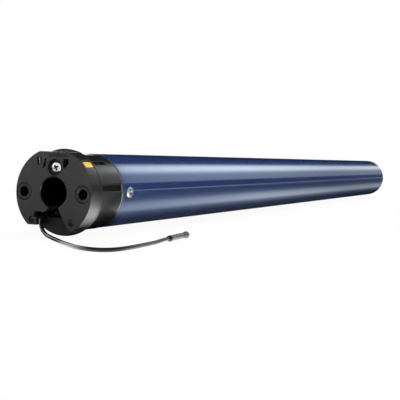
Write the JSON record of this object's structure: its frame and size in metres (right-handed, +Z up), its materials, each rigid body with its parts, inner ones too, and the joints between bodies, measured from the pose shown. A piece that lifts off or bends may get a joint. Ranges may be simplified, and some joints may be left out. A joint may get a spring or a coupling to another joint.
{
  "type": "tubular blind motor",
  "caption": "Tubular roller blind motor with a bracket head, turning crown ring, sealed battery tube, planetary drive, flatted output shaft and a short charging pigtail.",
  "frame": {"origin": "centre of the head's front face, on the tube's axis, midway between the two fixing holes", "axes": "+X along the tube from the head's front face to the output shaft; +Z up, through the top screw; +Y to the left seen from the front"},
  "size_m": [0.8, 0.0888, 0.0503],
  "materials": {
    "head_black": "fine matte moulded black",
    "crown_black": "satin dark grey moulded",
    "insert_black": "blackened steel",
    "screw_silver": "bright zinc plate",
    "screw_black": "black oxide",
    "button_yellow": "satin yellow",
    "tube_blue": "gloss navy paint",
    "ring_steel": "bright turned steel",
    "lead_black": "smooth black jacket",
    "plug_black": "satin black",
    "board_green": "solder mask",
    "chip_black": "matte epoxy",
    "can_blue": "sleeved can",
    "cell_teal": "shrink sleeve",
    "copper": "bare copper",
    "block_cream": "matte nylon",
    "steel": "ground steel",
    "magnet": "ferrite",
    "carbon": "carbon",
    "alloy": "die cast alloy",
    "rubber_black": "matte rubber",
    "nylon_white": "natural nylon"
  },
  "bodies": {
    "motor_body": {"head_housing": "head_black", "fixing_inserts": "insert_black", "clamp_cover": "crown_black", "clamp_screw": "screw_silver", "clamp_strip": "ring_steel", "lobe_screws": "screw_black", "button_switch": "chip_black", "bearing_hub": "head_black", "cable_grommet": "rubber_black", "pigtail_lead": "lead_black", "plug_boot": "lead_black", "plug_body": "plug_black", "plug_tip": "plug_black", "retaining_ring": "ring_steel", "pinion_axle": "steel", "tube_spigot": "head_black", "spigot_screws": "steel", "encoder_board": "board_green", "motor_tube": "tube_blue", "tube_screws": "screw_silver", "board_tray": "head_black", "control_board": "board_green", "board_chips": "chip_black", "board_capacitors": "can_blue", "radio_coil": "copper", "terminal_block": "block_cream", "battery_cells": "cell_teal", "cell_holders": "head_black", "motor_isolator": "rubber_black", "motor_can": "steel", "motor_magnets": "magnet", "motor_end_bell": "head_black", "motor_brushes": "carbon", "motor_bearings": "steel", "gearbox_plate": "steel", "ring_gear": "steel", "end_cap": "alloy", "output_bearings": "steel", "gearbox_screws": "screw_black"},
    "button": {"setting_button": "button_yellow"},
    "crown": {"crown_ring": "crown_black"},
    "pinion": {"limit_pinion": "nylon_white"},
    "rotor": {"rotor_shaft": "steel", "rotor_core": "steel", "commutator": "copper"},
    "stage_1": {"carrier_1": "steel", "planet_pins_1": "steel"},
    "stage_2": {"carrier_2": "steel", "planet_pins_2": "steel"},
    "output": {"output_shaft": "steel", "planet_pins_3": "steel"},
    "planet_1a_gear": {"planet_1a": "steel"},
    "planet_1b_gear": {"planet_1b": "steel"},
    "planet_1c_gear": {"planet_1c": "steel"},
    "planet_2a_gear": {"planet_2a": "steel"},
    "planet_2b_gear": {"planet_2b": "steel"},
    "planet_2c_gear": {"planet_2c": "steel"},
    "planet_3a_gear": {"planet_3a": "steel"},
    "planet_3b_gear": {"planet_3b": "steel"},
    "planet_3c_gear": {"planet_3c": "steel"}
  },
  "joints": [
    {"name": "rotor_spin", "type": "hinge", "parent": "motor_body", "child": "rotor", "pos_m": [0.6099, 0, 0], "axis": [1, 0, 0], "continuous": true},
    {"name": "stage_1_spin", "type": "hinge", "parent": "motor_body", "child": "stage_1", "pos_m": [0.6619, 0, 0], "axis": [1, 0, 0], "continuous": true},
    {"name": "stage_2_spin", "type": "hinge", "parent": "motor_body", "child": "stage_2", "pos_m": [0.6759, 0, 0], "axis": [1, 0, 0], "continuous": true},
    {"name": "output_spin", "type": "hinge", "parent": "motor_body", "child": "output", "pos_m": [0.7409, 0, 0], "axis": [1, 0, 0], "continuous": true},
    {"name": "planet_1a_spin", "type": "hinge", "parent": "stage_1", "child": "planet_1a_gear", "pos_m": [0.6559, 0.0108, 0], "axis": [1, 0, 0], "continuous": true},
    {"name": "planet_1b_spin", "type": "hinge", "parent": "stage_1", "child": "planet_1b_gear", "pos_m": [0.6559, -0.0054, 0.00935], "axis": [1, 0, 0], "continuous": true},
    {"name": "planet_1c_spin", "type": "hinge", "parent": "stage_1", "child": "planet_1c_gear", "pos_m": [0.6559, -0.0054, -0.00935], "axis": [1, 0, 0], "continuous": true},
    {"name": "planet_2a_spin", "type": "hinge", "parent": "stage_2", "child": "planet_2a_gear", "pos_m": [0.6699, 0.0108, 0], "axis": [1, 0, 0], "continuous": true},
    {"name": "planet_2b_spin", "type": "hinge", "parent": "stage_2", "child": "planet_2b_gear", "pos_m": [0.6699, -0.0054, 0.00935], "axis": [1, 0, 0], "continuous": true},
    {"name": "planet_2c_spin", "type": "hinge", "parent": "stage_2", "child": "planet_2c_gear", "pos_m": [0.6699, -0.0054, -0.00935], "axis": [1, 0, 0], "continuous": true},
    {"name": "planet_3a_spin", "type": "hinge", "parent": "output", "child": "planet_3a_gear", "pos_m": [0.6849, 0.0108, 0], "axis": [1, 0, 0], "continuous": true},
    {"name": "planet_3b_spin", "type": "hinge", "parent": "output", "child": "planet_3b_gear", "pos_m": [0.6849, -0.0054, 0.00935], "axis": [1, 0, 0], "continuous": true},
    {"name": "planet_3c_spin", "type": "hinge", "parent": "output", "child": "planet_3c_gear", "pos_m": [0.6849, -0.0054, -0.00935], "axis": [1, 0, 0], "continuous": true},
    {"name": "crown_spin", "type": "hinge", "parent": "motor_body", "child": "crown", "pos_m": [0.022, 0, 0], "axis": [1, 0, 0], "continuous": true},
    {"name": "pinion_spin", "type": "hinge", "parent": "motor_body", "child": "pinion", "pos_m": [0.0345, -0.01228, -0.00361], "axis": [1, 0, 0], "continuous": true},
    {"name": "button_press", "type": "slide", "parent": "motor_body", "child": "button", "axis": [0, 0.7431, -0.6691], "range_m": [0, 0.0012], "stiffness_N_per_m": 400, "springref_m": -0.0005}
  ],
  "couplings": [
    {"joint": "stage_1_spin", "follows": "rotor_spin", "ratio": 0.22222},
    {"joint": "stage_2_spin", "follows": "rotor_spin", "ratio": 0.049383},
    {"joint": "output_spin", "follows": "rotor_spin", "ratio": 0.010974},
    {"joint": "planet_1a_spin", "follows": "rotor_spin", "ratio": -0.62222},
    {"joint": "planet_1b_spin", "follows": "rotor_spin", "ratio": -0.62222},
    {"joint": "planet_1c_spin", "follows": "rotor_spin", "ratio": -0.62222},
    {"joint": "planet_2a_spin", "follows": "rotor_spin", "ratio": -0.13827},
    {"joint": "planet_2b_spin", "follows": "rotor_spin", "ratio": -0.13827},
    {"joint": "planet_2c_spin", "follows": "rotor_spin", "ratio": -0.13827},
    {"joint": "planet_3a_spin", "follows": "rotor_spin", "ratio": -0.030727},
    {"joint": "planet_3b_spin", "follows": "rotor_spin", "ratio": -0.030727},
    {"joint": "planet_3c_spin", "follows": "rotor_spin", "ratio": -0.030727},
    {"joint": "pinion_spin", "follows": "crown_spin", "ratio": 3.6667}
  ]
}
